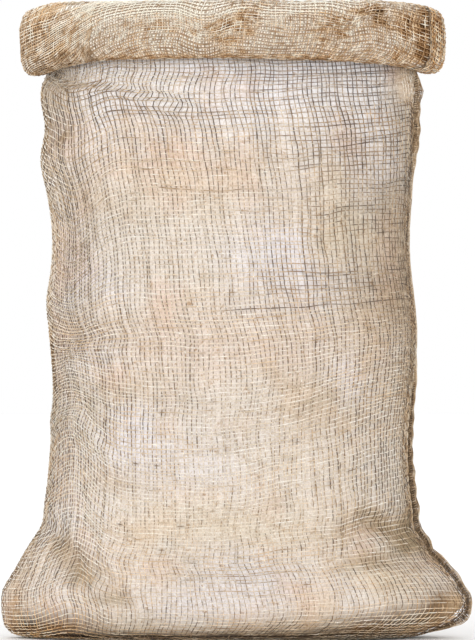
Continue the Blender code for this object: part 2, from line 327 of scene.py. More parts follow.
def ruck(x, z):
    """Height of the rucks in the cuff's outer turn."""
    return sum(rise * bell(off_line(x, z, *line), 0, width) for *line, width, rise in RUCKS)


def ring(left, right, half_depth, point):
    """One section at even steps of its length: fold, front, seam, back."""
    turn = np.linspace(math.pi, 0, 361)
    x = (right - left) / 2 + (right + left) / 2 * np.cos(turn)
    bow = np.sin(turn).clip(0)
    y = -half_depth * ((1 - NOSE) * bow**point + NOSE * bow)
    length = np.concatenate([[0], np.cumsum(np.hypot(np.diff(x), np.diff(y)))])
    at = np.linspace(0, length[-1], PANEL_COLUMNS + 1)
    xf, yf = np.interp(at, length, x), np.interp(at, length, y)
    return np.append(xf, xf[1:-1][::-1]), np.append(yf, -yf[1:-1][::-1])


PANEL = np.append(-np.ones(PANEL_COLUMNS + 1), np.ones(PANEL_COLUMNS - 1))


def outward(x, y):
    """Outward normals of a closed section."""
    tx = np.roll(x, -1) - np.roll(x, 1)
    ty = np.roll(y, -1) - np.roll(y, 1)
    size = np.maximum(np.hypot(tx, ty), 1e-9)
    return ty / size, -tx / size


def roll_middle(x):
    """Height of the cuff's middle, between its bottom and top edges."""
    return (smooth(ROLL, x, 1) + smooth(ROLL, x, 2)) / 2 - ROLL_SETTLE * ROLL_LAYER_GAP / 4


def cloth_rows():
    """Rows over the whole cloth, from the bottom seam to the end inside the cuff."""
    rows = []
    x, y = ring(*[float(smooth(LEVELS, 0.0, c)) for c in range(1, 5)])
    for share in np.linspace(0, 1, BASE_ROWS + 1):
        reach = BASE_SEAM_REACH + (1 - BASE_SEAM_REACH) * share
        rows.append(np.stack([x * reach, y * share, np.full(len(x), CLOTH_T / 2)], 1))
    edge, body = np.linspace(0.002, 0.02, EDGE_ROWS), np.linspace(0.024, RIM_Z, BODY_ROWS)
    for height in np.concatenate([edge, body]):
        x, y = ring(*[float(smooth(LEVELS, height, c)) for c in range(1, 5)])
        nx, ny = outward(x, y)
        z = np.full(len(x), height)
        deep = relief(x, z, PANEL)
        if height > 0.60:
            z = z + (roll_middle(x) - RIM_Z) * min(1.0, (height - 0.60) / 0.04)
        rows.append(np.stack([x - nx * deep, y - ny * deep, z], 1))
    x, y, z = rows[-1].T
    nx, ny = outward(x, y)
    bottom, top = smooth(ROLL, x, 1), smooth(ROLL, x, 2)
    half_height = (top - bottom - CLOTH_T + ROLL_SETTLE * ROLL_LAYER_GAP) / 2
    way = np.arctan2(y, x)
    plump = 1 + 0.07 * np.sin(3 * way + 0.6) + 0.06 * np.sin(7 * way + 2.0)
    plump = plump + 0.05 * np.sin(11 * way)
    half_depth = ROLL_HALF_DEPTH * plump + ROLL_END_SWELL * np.abs(x / 0.19).clip(0, 1.05) ** 6
    for at, width, deep in DENTS:
        half_depth -= deep / 2 * bell(x, at, width) * (y < 0)
    corner = 1 - 0.32 * up_from(np.abs(x), 0.12, 0.06)
    drop = FRONT_DROP * down_to(y, 0, 0.075)
    for turned in np.arange(TURN_STEP, ROLL_TURNS * 360 + 1, TURN_STEP):
        angle = math.radians(180 - turned)
        across = np.sign(math.cos(angle)) * abs(math.cos(angle)) ** corner
        rise = np.sign(math.sin(angle)) * abs(math.sin(angle)) ** corner
        shrink = ROLL_LAYER_GAP * turned / 360 * (1 - 0.86 * np.abs(x / 0.178).clip(0, 1) ** 5)
        out = half_depth + (half_depth - shrink) * across
        up = (half_height - ROLL_SETTLE * shrink) * rise - drop * np.clip(-rise, 0, 1)
        if 60 < turned < 320:  # the outer turn
            share = math.sin(math.radians((turned - 60) / 260 * 180))
            out = out + share * ruck(x, z + up) * (y < 0)
        rows.append(np.stack([x + nx * out, y + ny * out, z + up], 1))
    return np.array(rows)


class Cloth:
    """The cloth's middle surface, read at a length from the bottom seam and a share round it."""

    def __init__(self):
        self.points = cloth_rows()
        self.points[:, :, 0] += MIDDLE[0]
        self.points[:, :, 1] += MIDDLE[1]
        self.space_turns(self.points[CUFF_ROW + 1 :])
        step = np.linalg.norm(np.diff(self.points, axis=0), axis=2)
        middle = step[:, PANEL_COLUMNS // 4 : 3 * PANEL_COLUMNS // 4].mean(1)
        self.v = np.concatenate([[0], np.cumsum(middle)])
        along = np.roll(self.points, -1, 1) - np.roll(self.points, 1, 1)
        up = np.gradient(self.points, axis=0)
        self.normals = unit(np.cross(along, up))
        self.normals[:BASE_ROWS] = (0, 0, -1)
        self.even = np.array([self.even_columns(row) for row in self.points])
        self.even[:BASE_ROWS] = np.arange(self.even.shape[1])

    def space_turns(self, turns):
        """Space the rows of the cuff alike in every column, by the column's own length."""
        gone = np.cumsum(np.linalg.norm(np.diff(turns, axis=0, prepend=turns[:1]), axis=2), 0)
        share = gone / gone[-1]
        middle = share[:, PANEL_COLUMNS // 4 : 3 * PANEL_COLUMNS // 4].mean(1)
        for c in range(turns.shape[1]):
            spaced = [np.interp(middle, share[:, c], turns[:, c, k]) for k in range(3)]
            turns[:, c] = np.stack(spaced, 1)

    def even_columns(self, row):
        """Columns at even steps of each panel's own length, which grows at the cuff's ends."""
        closed = np.append(row, row[:1], axis=0)
        step = np.linalg.norm(np.diff(closed, axis=0), axis=1)
        gone = np.concatenate([[0], np.cumsum(step)])
        half = gone[PANEL_COLUMNS]
        share = np.where(gone <= half, gone / half / 2, 0.5 + (gone - half) / (gone[-1] - half) / 2)
        columns = np.arange(len(gone))
        return np.interp(columns / columns[-1], share, columns)

    def read(self, v, u):
        """Points and outward normals at v metres and u (0 to 1, 0 at the fold, 0.5 at the seam)."""
        count = self.points.shape[1]
        row = np.interp(v, self.v, np.arange(len(self.v)))
        r0 = np.clip(np.floor(row).astype(int), 0, len(self.v) - 2)
        up = row - r0
        place = (u % 1.0) * count
        k0 = np.floor(place).astype(int).clip(0, count - 1)
        on = place - k0
        low, high = (self.even[r, k0] * (1 - on) + self.even[r, k0 + 1] * on for r in (r0, r0 + 1))
        column = low * (1 - up) + high * up
        c0 = np.floor(column).astype(int) % count
        c1 = (c0 + 1) % count
        on, up = (column - np.floor(column))[..., None], up[..., None]

        def mix(a):
            low, high = (a[r, c0] * (1 - on) + a[r, c1] * on for r in (r0, r0 + 1))
            return low * (1 - up) + high * up

        return mix(self.points), unit(mix(self.normals))


cloth = Cloth()
V_END = float(cloth.v[-1])
V_FLOOR = float(cloth.v[BASE_ROWS])  # where the cloth leaves the floor
V_ROLL = float(cloth.v[CUFF_ROW + 1])  # where the cuff starts to turn
TURNS = np.arange(len(cloth.v) - CUFF_ROW)  # rows of the cuff
V_NET = float(np.interp(LAST_TURN / TURN_STEP, TURNS, cloth.v[CUFF_ROW:]))  # the yarns' end


def turned_at(v):
    """Degrees through which the cloth of the cuff has turned."""
    return np.interp(v, cloth.v[CUFF_ROW:], TURNS * float(TURN_STEP))


def seam_at(v):
    """Where the side seam runs: at the right edge, drawn to the front at the cuff."""
    drawn = 0.012 * up_from(v - V_ROLL, -0.095, 0.075) ** 1.5
    return 0.5 - drawn - 0.026 * up_from(v, V_ROLL, 0.045)


# ---------------------------------------------------------------- yarn net
def weft_places():
    """Length of every weft from the bottom seam."""
    places = [0.0004]
    starts, pitches = zip(*WEFT_PITCHES)
    while places[-1] < V_NET - 0.004:
        places.append(places[-1] + float(np.interp(places[-1], starts, pitches)))
    return np.array(places)


WEFTS = weft_places()
ROWS = len(WEFTS) - 1
# Rise of the wefts on the front over the lower right: place, rise.
RISE = [(-0.3, 0.0), (0.05, 0.0), (0.1, 0.011), (0.15, 0.028), (0.185, 0.035), (0.3, 0.035)]
# Rise of the wefts along the cuff, where it is twisted and gathered: place, rise.
CUFF_RISE = [
    (-0.23, -0.032),
    (-0.2, -0.022),
    (-0.16, -0.009),
    (-0.12, 0.0),
    (-0.085, 0.006),
    (-0.055, 0.006),
    (-0.023, -0.003),
    (0.01, 0.004),
    (0.056, 0.002),
    (0.098, 0.003),
    (0.128, -0.002),
    (0.155, 0.003),
    (0.192, 0.001),
]
# Folds at which the warps turn: x0, z0, x1, z1, width, sideways throw.
KINKS = [
    (-0.195, 0.594, -0.035, 0.546, 0.0065, 0.0068),
    (-0.19, 0.324, -0.09, 0.31, 0.01, 0.003),
    (-0.186, 0.228, -0.118, 0.191, 0.01, 0.003),
    (-0.17, 0.08, -0.12, 0.04, 0.012, 0.0035),
    (0.17, 0.11, 0.1, 0.07, 0.012, -0.0035),
]
# Places where the yarns are drawn together: x, z, half width, half height, amount.
GATHERS = [
    (-0.03, 0.634, 0.03, 0.012, 0.45),
    (-0.02, 0.658, 0.035, 0.01, -0.4),
    (0.118, 0.64, 0.03, 0.012, 0.45),
    (0.085, 0.66, 0.05, 0.008, -0.35),
    (0.185, 0.585, 0.025, 0.012, 0.4),
    (-0.172, 0.3, 0.03, 0.2, 0.4),
    (-0.205, 0.018, 0.04, 0.014, -0.45),
    (0.195, 0.02, 0.045, 0.016, -0.45),
]
# Swags below the cuff at the left fold, where the wefts are drawn together, as above.
SWAGS = (-0.205, 0.589, 0.045, 0.02, 0.65)
# Tone of the yarns on the front: x, z, half width, half height, warp, weft.
TONES = [
    (0.14, 0.53, 0.1, 0.075, -0.06, 0.6),
    (0.15, 0.585, 0.09, 0.03, 0.02, 0.34),
    (-0.08, 0.596, 0.1, 0.003, 0.1, 0.4),
    (0.09, 0.597, 0.09, 0.005, 0.2, 0.2),
    (0.17, 0.4, 0.045, 0.11, 0.0, 0.56),
    (0.03, 0.585, 0.05, 0.02, 0.0, 0.32),
    # Painted light: the yarns under the cuff's left end, paler against its shadow.
    (-0.165, 0.583, 0.045, 0.02, -0.36, 0.16),
    (-0.165, 0.11, 0.04, 0.06, 0.0, -0.12),
    # Painted light: the bunch at the seam under the cuff, paler against its shadow.
    (0.182, 0.584, 0.018, 0.02, -1.0, -0.7),
    (-0.15, 0.565, 0.05, 0.012, 0.1, 0.6),
    (-0.085, 0.551, 0.05, 0.013, 0.04, 0.48),
    (-0.02, 0.543, 0.045, 0.011, 0.02, 0.36),
    (-0.17, 0.42, 0.035, 0.14, 0.1, 0.4),
    # Painted shade: darker yarns along the bottom, where the cloth meets the floor.
    (0.0, 0.006, 0.3, 0.012, 0.5, 0.66),
    (0.055, 0.372, 0.04, 0.02, 0.06, 0.4),
    (0.1, 0.378, 0.05, 0.026, 0.02, 0.32),
    (0.11, 0.44, 0.06, 0.04, 0.0, 0.34),
    (0.01, 0.07, 0.06, 0.03, 0.0, 0.28),
    (-0.06, 0.13, 0.09, 0.06, -0.2, -0.02),
    (0.06, 0.17, 0.07, 0.06, -0.14, 0.0),
    (0.0, 0.24, 0.08, 0.06, -0.12, 0.0),
    (-0.205, 0.02, 0.04, 0.014, -0.66, -0.2),
    (0.185, 0.018, 0.055, 0.016, -0.84, -0.12),
    # Painted shade in the folds of the lower corners (this row and the next four).
    (0.17, 0.128, 0.05, 0.008, 0.1, 0.25),
    (0.15, 0.086, 0.03, 0.01, 0.05, 0.15),
    (0.184, 0.107, 0.012, 0.016, 0.1, 0.32),
    (-0.178, 0.085, 0.01, 0.02, 0.1, 0.32),
    (-0.145, 0.05, 0.022, 0.014, 0.1, 0.2),
    (0.183, 0.548, 0.006, 0.04, -0.3, 0.05),
    (0.18, 0.3, 0.01, 0.24, -0.1, 0.12),
]
# Tone of the cuff: x, z, half width, half height, warps, wefts, turns inside.
CUFF_TONES = [
    (-0.214, 0.628, 0.046, 0.05, -0.02, -0.28, 0.6),
    (0.14, 0.634, 0.07, 0.04, 0.06, 0.06, 0.12),
    (-0.175, 0.603, 0.05, 0.013, 0.14, 0.14, 0.42),
    # Painted light: the pale strips along the top of the cuff (this row and the next).
    (-0.125, 0.659, 0.065, 0.011, -1.05, -1.05, -0.62),
    (-0.04, 0.659, 0.04, 0.011, -1.05, -1.05, -0.66),
    (-0.1, 0.64, 0.085, 0.03, -0.34, -0.34, -0.24),
    (-0.105, 0.641, 0.05, 0.007, -0.2, -0.26, 0.4),
    (-0.06, 0.632, 0.035, 0.007, -0.25, -0.36, 0.5),
    (-0.11, 0.622, 0.028, 0.009, 0.15, 0.15, 0.0),
    (-0.002, 0.632, 0.026, 0.02, -0.3, -0.32, 0.62),
    (0.014, 0.652, 0.014, 0.01, -0.3, -0.3, 0.48),
    (-0.036, 0.653, 0.017, 0.007, -0.05, -0.05, -0.25),
    (0.05, 0.652, 0.03, 0.008, -0.95, -0.92, 0.08),
    # Painted light along the top of the cuff.
    (0.095, 0.661, 0.045, 0.006, -1.1, -1.1, -0.7),
    (0.1, 0.638, 0.026, 0.012, -0.22, -0.22, 0.55),
    # Painted shade in the V-shaped fold (this row and the next).
    (0.133, 0.656, 0.02, 0.006, 0.18, 0.18, 0.75),
    (0.148, 0.648, 0.006, 0.012, 0.18, 0.18, 0.75),
    (0.161, 0.654, 0.009, 0.01, 0.1, 0.1, -0.3),
    (0.176, 0.64, 0.018, 0.013, 0.02, 0.02, 0.56),
    # Painted shade in the crease near the cuff's right end.
    (0.195, 0.634, 0.008, 0.034, 0.26, 0.28, 0.88),
    (0.213, 0.64, 0.011, 0.034, 0.24, 0.24, 0.75),
    (0.19, 0.663, 0.03, 0.006, -0.2, -0.2, -0.3),
    (0.18, 0.606, 0.024, 0.012, 0.1, 0.1, 0.5),
]
# Where the warps show only as dots between the wefts, painted paler at the crossings
# and darker between them (painted light and shade): x, z, half width, half height, amount.
DOTTED = [
    (-0.02, 0.43, 0.11, 0.06, 0.75),
    (-0.06, 0.33, 0.1, 0.06, 0.7),
    (-0.12, 0.44, 0.06, 0.08, 0.55),
    (0.0, 0.26, 0.11, 0.07, 0.6),
    (-0.04, 0.15, 0.13, 0.06, 0.6),
    (0.13, 0.46, 0.05, 0.02, 0.55),
    (0.11, 0.3, 0.04, 0.06, 0.35),
    (0.07, 0.07, 0.12, 0.04, 0.5),
    (-0.17, 0.33, 0.035, 0.13, 0.55),
    (-0.15, 0.12, 0.04, 0.04, 0.45),
]
# Single darker wefts on the front: z at the middle, x from, x to, tone.
DARK_WEFTS = [
    (0.3486, -0.015, 0.174, 0.9),
    (0.335, -0.002, 0.06, 0.28),
    (0.466, -0.08, 0.066, 0.4),
    (0.519, 0.056, 0.108, 0.4),
    (0.4935, 0.058, 0.09, 0.4),
    (0.564, -0.1, 0.01, 0.25),
    (0.59, -0.06, 0.03, 0.25),
    (0.176, 0.112, 0.128, 0.7),
    (0.093, -0.01, 0.06, 0.3),
    (0.07, -0.01, 0.06, 0.3),
]
# Single darker warps on the front: x at the middle, z from, z to, tone.
DARK_WARPS = [
    (0.0955, 0.16, 0.186, 0.45),
    (0.126, 0.156, 0.17, 0.45),
    (0.129, 0.428, 0.438, 0.45),
    (0.119, 0.41, 0.424, 0.45),
    (-0.05, 0.44, 0.56, 0.22),
    (-0.028, 0.43, 0.54, 0.22),
    (0.03, 0.34, 0.38, 0.3),
    (0.052, 0.34, 0.395, 0.3),
]
# Small dark knots: x, z.
KNOTS = [
    (-0.181, 0.104),
    (-0.102, 0.185),
    (-0.083, 0.183),
    (-0.123, 0.122),
    (-0.06, 0.12),
    (-0.08, 0.098),
]
# Tones of the cuff: of the warps and the wefts, what a yarn gains under another
# and loses over it (painted shade where it dips under, painted light where it lies
# over), the palest and the darkest, and that of the turns inside.
CUFF_WARP, CUFF_WEFT, CUFF_UNDER_SHADE = 0.34, 0.28, 0.38
CUFF_RANGE = (-0.5, 0.74)
INSIDE_TONE = 0.30


def patches(table, x, z, column, edge=1):
    """Sum of oval patches of a table; a larger edge makes them flatter, with a sharper rim."""
    total = np.zeros_like(x)
    for row in table:
        far = ((x - row[0]) / row[2]) ** 2 + ((z - row[1]) / row[3]) ** 2
        total += row[column] * np.exp(-(far**edge))
    return total


def between(rows):
    """The rows with one more halfway between each two."""
    out = np.empty((2 * len(rows) - 1, *rows.shape[1:]))
    out[::2] = rows
    out[1::2] = (rows[:-1] + rows[1:]) / 2
    return out


def tubes(centre, normal, lateral, radius):
    """Open-ended tubes along axis 0 of centre; every column is one yarn."""
    turn = (np.arange(YARN_SIDES) * 2 * math.pi / YARN_SIDES)[:, None]
    radius = radius[:, :, None, None]
    points = (
        centre[:, :, None]
        + lateral[:, :, None] * (np.cos(turn) * radius)
        + normal[:, :, None] * (np.sin(turn) * radius)
    )
    index = np.arange(points.size // 3).reshape(points.shape[:3])
    return points.reshape(-1, 3), quads(index)


def per_side(colour):
    """A yarn's colours, once for each corner of its section."""
    return np.repeat(colour.reshape(-1, 3), YARN_SIDES, 0)


def warp_places(z):
    """Place round the sack of every warp, row by row: 0 at the fold, 0.5 at the seam."""
    t = (WARPS - np.arange(WARPS + 1)) / WARPS
    front_share = smooth(FRONT_SHARES, z)[:, None]
    on_front = 1 / (1 + np.exp((t[None] - front_share) / 0.016))
    pitch = 0.5 / (1 - front_share) + (0.5 / front_share - 0.5 / (1 - front_share)) * on_front
    across = smooth(ACROSS, (t[None] / front_share * 0.5).clip(0, 0.5))
    pitch = pitch * (1 + (across - 1) * on_front)
    gone = np.cumsum(pitch[:, ::-1], 1)
    gone = (gone - gone[:, :1]) / (gone[:, -1:] - gone[:, :1])
    return -gone[:, ::-1]


def facing(p, n, v):
    """How far a place faces the front, 0 to 1."""
    on_body = np.clip(-n[..., 1] * 2.5, 0, 1) * (v > V_FLOOR)
    on_cuff = np.clip(0.5 - (p[..., 1] - MIDDLE[1]) / 0.012, 0, 1)
    return np.where(v > V_ROLL, on_cuff, on_body)


def cuff_shares(v):
    """How far a length is on the cuff, and how far on its outer turn."""
    turned = turned_at(v)
    return up_from(v, V_ROLL, 0.02), up_from(turned, 50, 20) * down_to(turned, 330, 30)


def net_grid():
    """Length and round places of the crossings, with the yarns' unevenness."""
    j, i = np.meshgrid(np.arange(ROWS + 1), np.arange(WARPS + 1), indexing="ij")
    v = np.tile(WEFTS[:, None], (1, WARPS + 1))
    height = np.interp(WEFTS, cloth.v, cloth.points[:, PANEL_COLUMNS // 2, 2])
    place = warp_places(np.where(WEFTS < V_ROLL, height, RIM_Z))
    u = 0.5 + place + (seam_at(v) - 0.5) * np.abs(1 + 2 * place) ** 2.5
    p, n = cloth.read(v, u)
    x, z = p[..., 0] - MIDDLE[0], p[..., 2]
    front = facing(p, n, v)
    cuff = up_from(v - V_ROLL, 0.012, 0.03)
    du = np.zeros_like(v)
    for x0, z0, x1, z1, width, throw in KINKS:
        run = math.hypot(x1 - x0, z1 - z0)
        tx, tz = (x1 - x0) / run, (z1 - z0) / run
        along = (x - x0) * tx + (z - z0) * tz
        off = ((z - z0) * tx - (x - x0) * tz) * math.copysign(1, tx) / width
        ends = up_from(along, 0, 0.02) * down_to(along, run, 0.03)
        du += throw * off * np.exp(0.5 - off**2) * ends * front
    dv = smooth(RISE, x) * front * bell(z, 0.205, 0.12)
    dv += 0.012 * up_from(x, 0.04, 0.14) ** 1.2 * front * bell(z, 0.52, 0.10) * (1 - cuff)
    # The cuff's rows are lifted by each warp's place half way round the outer turn.
    half_way = int(np.searchsorted(WEFTS, cloth.v[CUFF_ROW + 180 // TURN_STEP]))
    on_front = np.clip(0.5 + np.minimum(u[half_way], 0.5 - u[half_way]) / 0.012, 0, 1)
    dv -= cuff * smooth(CUFF_RISE, x[half_way]) * on_front
    dv -= 0.006 * noise(j / 40, i / 7, 12) * cuff * (1 - on_front)
    du -= 0.014 * np.clip((v - V_ROLL) / 0.10, 0, 1.5) * front * cuff
    for x0, z0, wide, high, amount in GATHERS:
        near = amount * oval(x, z, x0, z0, wide, high) * front
        dv += near * (z - z0) * np.where(v > V_ROLL + 0.03, 1, -1)
        du -= near * (x - x0) * 0.5
    # The swags hang from the fold: their wefts are close together and sink towards the middle.
    x0, z0, wide, high, amount = SWAGS
    around = np.clip(0.6 - 2 * n[..., 1], 0, 1) * (v > V_FLOOR) * (v < V_ROLL)
    dv -= amount * oval(x, z, x0, z0, wide, high) * (z - z0) * around
    dv += 0.010 * down_to(x, -0.105, 0.085) * bell(z, 0.572, 0.035) * around
    crumple = 1 + 0.5 * cuff
    du += 0.0016 * noise(j / 13, i / 9, 1) + 0.0007 * noise(j / 5, i / 4, 2) * crumple
    du += 0.0005 * noise(j / 5, i, 3) + 0.0005 * noise(j / 60, i, 4)
    dv += 0.0013 * noise(j / 9, i / 13, 5) + 0.0006 * noise(j / 4, i / 5, 6) * crumple
    dv += (0.00045 - 0.0002 * cuff) * noise(j, i / 6, 7)
    dv += (0.0004 - 0.0003 * cuff) * noise(j, i / 80, 8)
    u = u + du * np.clip(np.minimum(i, WARPS - i) / 3, 0, 1)
    return j, i, np.clip(v + dv, 0.0004, V_END), u


# Colours of the yarns, linear: tone, red, green, blue.
YARN_COLOURS = [
    (-0.3, 0.96, 0.91, 0.84),
    (0.0, 0.85, 0.76, 0.64),
    (0.2, 0.76, 0.65, 0.50),
    (0.45, 0.57, 0.43, 0.28),
    (0.7, 0.31, 0.21, 0.12),
    (1.0, 0.11, 0.075, 0.045),
]


def shade(tone, warm, grey):
    """Colour of a tone, from pale cream (-0.3) over straw (0) to dark brown (1).

    Warm and grey shift the hue.
    """
    stops, *colours = zip(*YARN_COLOURS)
    colour = np.stack([np.interp(tone, stops, channel) for channel in colours], -1)
    warm = warm * (0.4 + 0.6 * up_from(tone, 0, 0.3))
    colour = colour * (1 + warm[..., None] * np.array([0.10, -0.02, -0.16]))
    mean = colour.mean(-1, keepdims=True)
    return (colour + (mean - colour) * np.clip(grey, 0, 1)[..., None] * 0.7).clip(0.01, 0.95)


# Places of the yarns in the seam allowance, as shares of its width.
FLANGE_SHARES = (0.14, 0.30, 0.46, 0.63, 0.80, 0.97)
FLANGE_COLUMNS = len(FLANGE_SHARES)


def flange(v, side):
    """Seam allowance: columns beyond the seam, ruffled, on one side of it."""
    q, n = cloth.read(v, seam_at(v))
    z = q[:, 2]
    wide = np.interp(z, SEAM_HEIGHTS, SEAM_WIDTHS) * (v > V_FLOOR) * (v < V_ROLL)
    wave = np.sin(v * 210 + 1.5 * np.sin(v * 37)) * 0.22 + 0.15 * np.sin(v * 95 + 1.0)
    points, normals = [], []
    for share in FLANGE_SHARES:
        out = n * (wide * share * (1 + 0.10 * np.sin(v * 330) + 0.08 * np.sin(v * 123)))[:, None]
        sway = np.zeros_like(q)
        sway[:, 1] = wide * share * wave - side * 0.0007
        points.append(q + out + sway)
        normals.append(np.tile([0.0, -side, 0.0], (len(v), 1)))
    return np.stack(points, 1), np.stack(normals, 1), wide


def nearest(x, z, front, x0, z0):
    """Row and column of the crossing nearest a place on the front."""
    far = (x - x0) ** 2 + (z - z0) ** 2 + (front < 0.3)
    return np.unravel_index(np.argmin(far), far.shape)


def seamed_grid():
    """The crossings with the allowance's columns: length, point, normal, share of its width."""
    _, _, v, u = net_grid()
    p, n = cloth.read(v, u)
    front_seam, front_normal, _ = flange(v[:, -1], 1)
    back_seam, back_normal, _ = flange(v[:, 0], -1)
    p = np.concatenate([back_seam[:, ::-1], p, front_seam], 1)
    n = np.concatenate([back_normal[:, ::-1], n, front_normal], 1)
    shares = np.tile(FLANGE_SHARES, (len(v), 1))
    edge = np.concatenate([shares[:, ::-1], np.zeros(v.shape), shares], 1)
    return np.pad(v, ((0, 0), (FLANGE_COLUMNS, FLANGE_COLUMNS)), mode="edge"), p, n, edge


def seam_tones(j, i, z, edge, cuff, top_edge):
    """Tone in the seam allowance: dark but for its middle part, and pale at the bunch, painted
    light against the shadow of the cuff above it.
    """
    low_part = down_to(z, 0.29, 0.03)
    tone = 0.26 + 0.26 * top_edge + low_part * np.where(edge < 0.7, 0.56, 0.20) + 0.22 * cuff
    tone = tone + 0.22 * noise(j, i, 72)
    tone = tone - 0.12 * (edge < 0.2) * (1 - top_edge) * (1 - low_part)
    # Painted light: the bunch below the cuff is paler against its shadow.
    bunch = np.clip(1 - np.abs(z - 0.588) / 0.014, 0, 1) * np.clip(1.4 - 1.6 * edge, 0, 1)
    return tone * (1 - bunch) + 0.15 * bunch


def net_tones(j, i, p, n, v, edge, warp_own, weft_own):
    """Tones of the warps and of the wefts at every crossing, with their warmth and greyness."""
    x, z, columns = p[..., 0] - MIDDLE[0], p[..., 2], p.shape[1]
    front, turned, cuff, outer = facing(p, n, v), turned_at(v), *cuff_shares(v)
    base = 0.04 + 0.07 * up_from(x, 0.06, 0.13)
    even = np.clip((z - 0.44) / 0.08, 0.4, 1)
    # Towards both sides the yarns are painted paler: painted light against the shade on the sides.
    edges = up_from(np.abs(x + 0.006), 0.10, 0.07)
    over = np.where((i + j) % 2 == 0, 1.0, -1.0)
    warp_tone = base + 0.72 - 0.02 * edges + patches(TONES, x, z, 4) * front
    warp_tone += even * (0.08 * warp_own + 0.14 * noise(j / 7, i, 21))
    warp_tone += (0.28 - 0.08 * even) * noise(j, i, 22)
    weft_tone = base - 0.03 - 0.08 * edges + patches(TONES, x, z, 5) * front + 0.03 * weft_own
    weft_tone += 0.10 * noise(j, i / 7, 31) + 0.20 * noise(j, i, 32)
    # Painted shade on the cuff: darker towards its underside and in the sunk rucks, with painted
    # light on the raised ones.
    painted_roll_shade = 0.36 * up_from(turned, 190, 60) - 40 * ruck(x, z) * front
    speckle = 0.54 * noise(j, i, 33) + 0.10 * noise(j / 3, i / 3, 34)
    for tone, plain, under, column in (
        (warp_tone, CUFF_WARP, -CUFF_UNDER_SHADE, 4),
        (weft_tone, CUFF_WEFT, CUFF_UNDER_SHADE, 5),
    ):
        outside = plain + under * over + patches(CUFF_TONES, x, z, column, 1.6) * front
        outside = (outside + painted_roll_shade + speckle).clip(*CUFF_RANGE)
        tone += cuff * (outer * outside + (1 - outer) * INSIDE_TONE - tone)
    warp_tone -= 0.24 * (down_to(z, 0.30, 0.12) * (1 - cuff)) * (1 - edges)
    # The yarns darken next to the seam: painted shade where the cloth turns into it.
    top_edge = up_from(z, 0.49, 0.03)
    at_seam = up_from(i, columns - FLANGE_COLUMNS - 11, 6) * down_to(z, 0.565, 0.01)
    weft_tone += (0.25 + 0.20 * top_edge) * at_seam * (1 - cuff)
    warp_tone += 0.75 * up_from(i, columns - FLANGE_COLUMNS - 6, 3) * down_to(z, 0.06, 0.02)
    seam_tone = seam_tones(j, i, z, edge, cuff, top_edge)
    warp_tone = np.where(edge > 0, seam_tone + 0.06 * noise(j / 3, i, 70), warp_tone)
    weft_tone = np.where(edge > 0, seam_tone + 0.06 * noise(j, i / 3, 71), weft_tone)
    for z0, x_from, x_to, amount in DARK_WEFTS:
        row, _ = nearest(x, z, front, (x_from + x_to) / 2, z0)
        weft_tone[row] += amount * ((x[row] > x_from) & (x[row] < x_to) & (front[row] > 0.2))
    for x0, z_from, z_to, amount in DARK_WARPS:
        _, column = nearest(x, z, front, x0, (z_from + z_to) / 2)
        warp_tone[:, column] += amount * ((z[:, column] > z_from) & (z[:, column] < z_to))
    warm = 0.30 + 0.35 * noise(j / 20, i / 20, 40) + 0.8 * cuff + 0.3 * noise(j / 3, i / 5, 41)
    warm += cuff * (0.5 * up_from(x, 0.16, 0.03) + 1.4 * up_from(x, 0.198, 0.008))
    warm += 1.6 * oval(np.abs(x), z, 0.21, 0, 0.06, 0.05)  # the ears
    warm = np.where(edge > 0, 0.3, warm.clip(-0.15, 2.5))
    grey = up_from(z, 0.545, 0.02) * np.clip(0.6 + x / 0.12, 0, 1) * (1 - cuff) * front * 0.5
    grey *= (edge == 0) * down_to(x, 0.176, 0.012)
    return warp_tone, weft_tone, warm, grey


def build_end_wefts(rows, columns, p, n, across_u, weft_r, weft_tone, warm, material):
    """A second yarn beside each weft, where the cuff swells round the fold."""
    grids = [k[rows, columns] for k in (p - n * 0.0003, n, across_u, weft_r, weft_tone, warm)]
    *paths, radius, tone, hue = (between(k)[1::2].swapaxes(0, 1) for k in grids)
    points, faces = tubes(*paths, radius * 0.9)
    k, m = np.meshgrid(*[np.arange(count) for count in tone.shape], indexing="ij")
    colour = shade(tone + 0.20 * noise(k, m, 55), hue, np.zeros(hue.shape))
    ob = make_mesh("cuff_end_wefts", points, faces, material, per_side(colour))
    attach(ob, "root")
    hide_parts("sack")
    return ob


